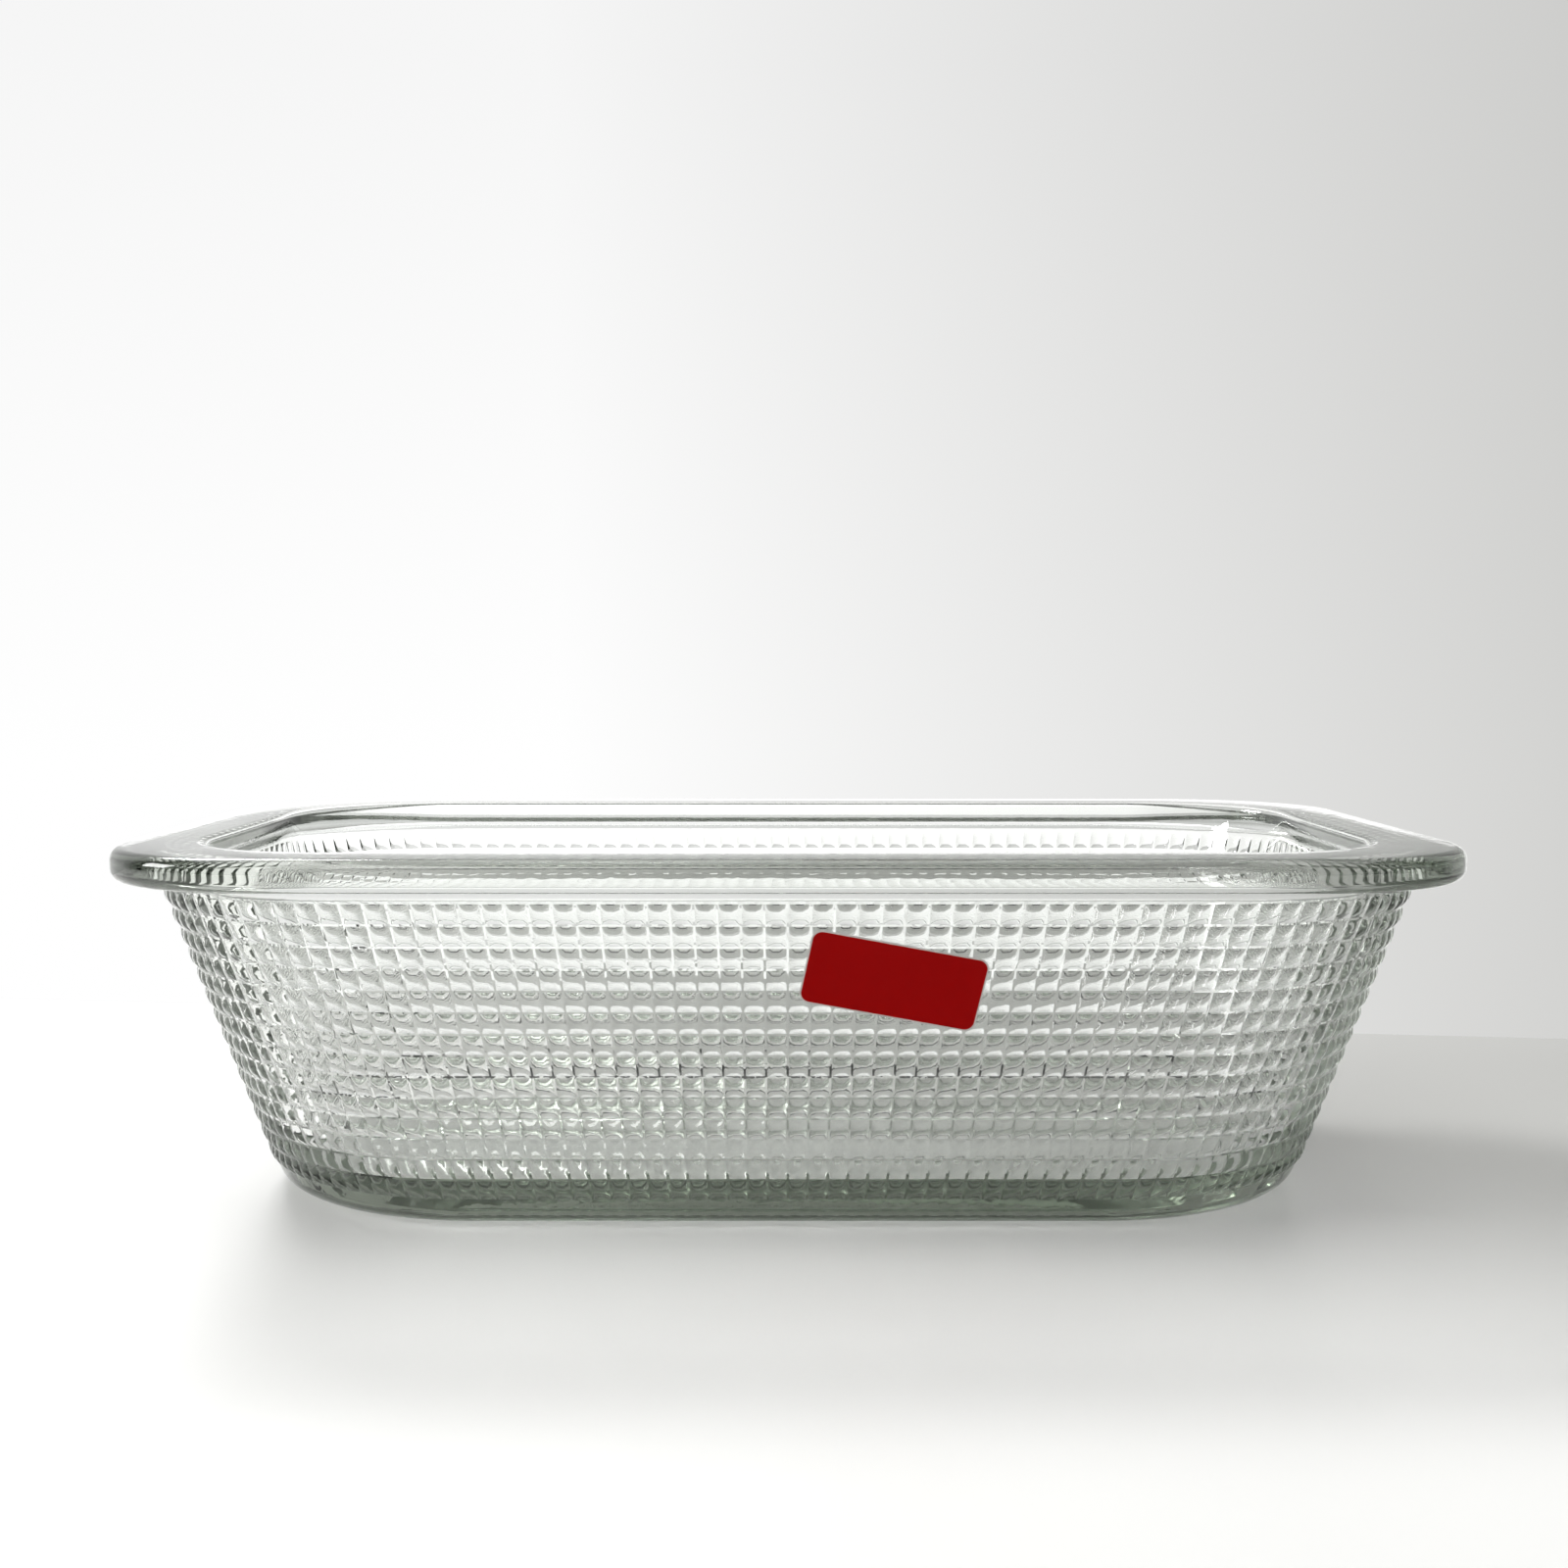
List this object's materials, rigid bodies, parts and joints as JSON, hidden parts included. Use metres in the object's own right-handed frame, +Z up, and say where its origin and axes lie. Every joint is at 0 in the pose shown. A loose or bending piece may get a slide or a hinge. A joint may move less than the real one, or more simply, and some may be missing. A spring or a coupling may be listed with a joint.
{
  "type": "loaf pan",
  "caption": "Clear pressed-glass loaf dish with a flat flange rim, sloping walls quilted with small pillow cells, and a plain red label; holds a loaf for baking and serving.",
  "frame": {"origin": "middle of the underside, on the surface that the dish stands on", "axes": "+X along the dish's length, +Y across it towards the back, +Z up out of its mouth; the label is on the front, -Y"},
  "size_m": [0.27, 0.155, 0.0755],
  "materials": {
    "pressed_glass": "fire-polished, clear with a faint green tint",
    "label_film": "glossy red print with a thin pale edge"
  },
  "bodies": {
    "root": {"glass_dish": "pressed_glass", "label": "label_film"}
  },
  "joints": []
}
